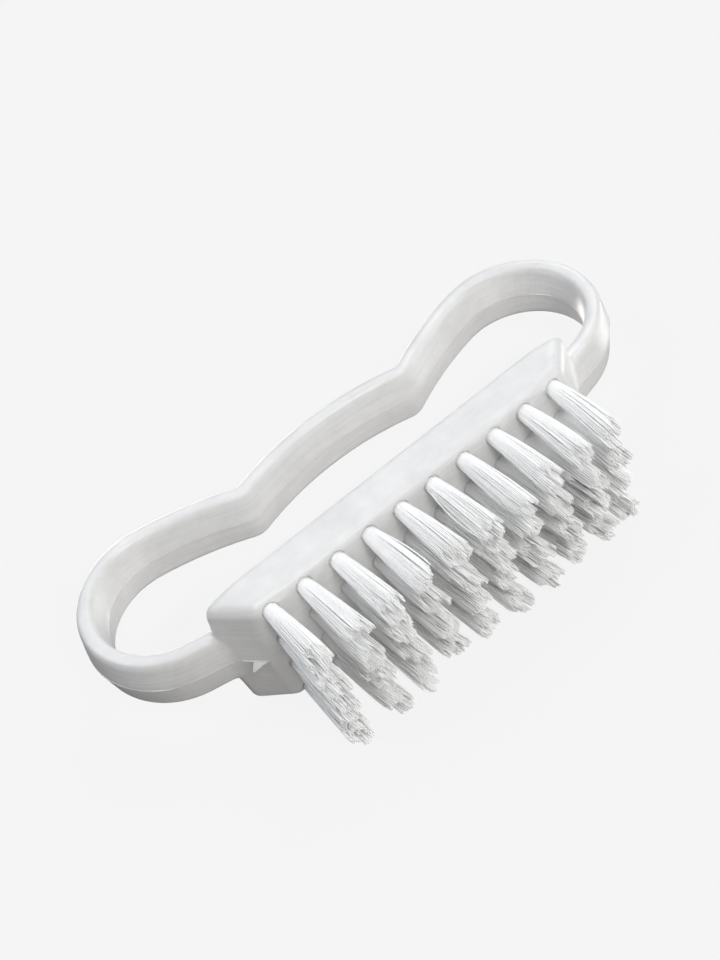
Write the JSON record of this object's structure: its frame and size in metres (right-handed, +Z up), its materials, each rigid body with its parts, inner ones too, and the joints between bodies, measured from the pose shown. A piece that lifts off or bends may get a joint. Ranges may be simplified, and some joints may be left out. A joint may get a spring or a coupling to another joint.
{
  "type": "nail brush",
  "caption": "Finger-grip nail brush: a moulded head with a strap handle that loops round both its ends, and nylon tufts in its front face.",
  "frame": {"origin": "under the middle of the bounding box, on the surface that the brush lies on with one long side of its head", "axes": "+X along the head and the handle, +Y from the tufts towards the handle, +Z up, square to the head's side faces"},
  "size_m": [0.0962, 0.0476, 0.0228],
  "materials": {
    "body_plastic": "white polypropylene, satin to half gloss, faint scuffs",
    "nylon_filament": "white translucent nylon filaments, dull tips",
    "anchor_metal": "plain flat wire, cut"
  },
  "bodies": {
    "root": {"moulded_body": "body_plastic", "tuft_row1_col01": "nylon_filament", "tuft_row1_col02": "nylon_filament", "tuft_row1_col03": "nylon_filament", "tuft_row1_col04": "nylon_filament", "tuft_row1_col05": "nylon_filament", "tuft_row1_col06": "nylon_filament", "tuft_row1_col07": "nylon_filament", "tuft_row1_col08": "nylon_filament", "tuft_row1_col09": "nylon_filament", "tuft_row1_col10": "nylon_filament", "tuft_row2_col01": "nylon_filament", "tuft_row2_col02": "nylon_filament", "tuft_row2_col03": "nylon_filament", "tuft_row2_col04": "nylon_filament", "tuft_row2_col05": "nylon_filament", "tuft_row2_col06": "nylon_filament", "tuft_row2_col07": "nylon_filament", "tuft_row2_col08": "nylon_filament", "tuft_row2_col09": "nylon_filament", "tuft_row2_col10": "nylon_filament", "tuft_row3_col01": "nylon_filament", "tuft_row3_col02": "nylon_filament", "tuft_row3_col03": "nylon_filament", "tuft_row3_col04": "nylon_filament", "tuft_row3_col05": "nylon_filament", "tuft_row3_col06": "nylon_filament", "tuft_row3_col07": "nylon_filament", "tuft_row3_col08": "nylon_filament", "tuft_row3_col09": "nylon_filament", "tuft_row3_col10": "nylon_filament", "tuft_row4_col01": "nylon_filament", "tuft_row4_col02": "nylon_filament", "tuft_row4_col03": "nylon_filament", "tuft_row4_col04": "nylon_filament", "tuft_row4_col05": "nylon_filament", "tuft_row4_col06": "nylon_filament", "tuft_row4_col07": "nylon_filament", "tuft_row4_col08": "nylon_filament", "tuft_row4_col09": "nylon_filament", "tuft_row4_col10": "nylon_filament"}
  },
  "joints": []
}
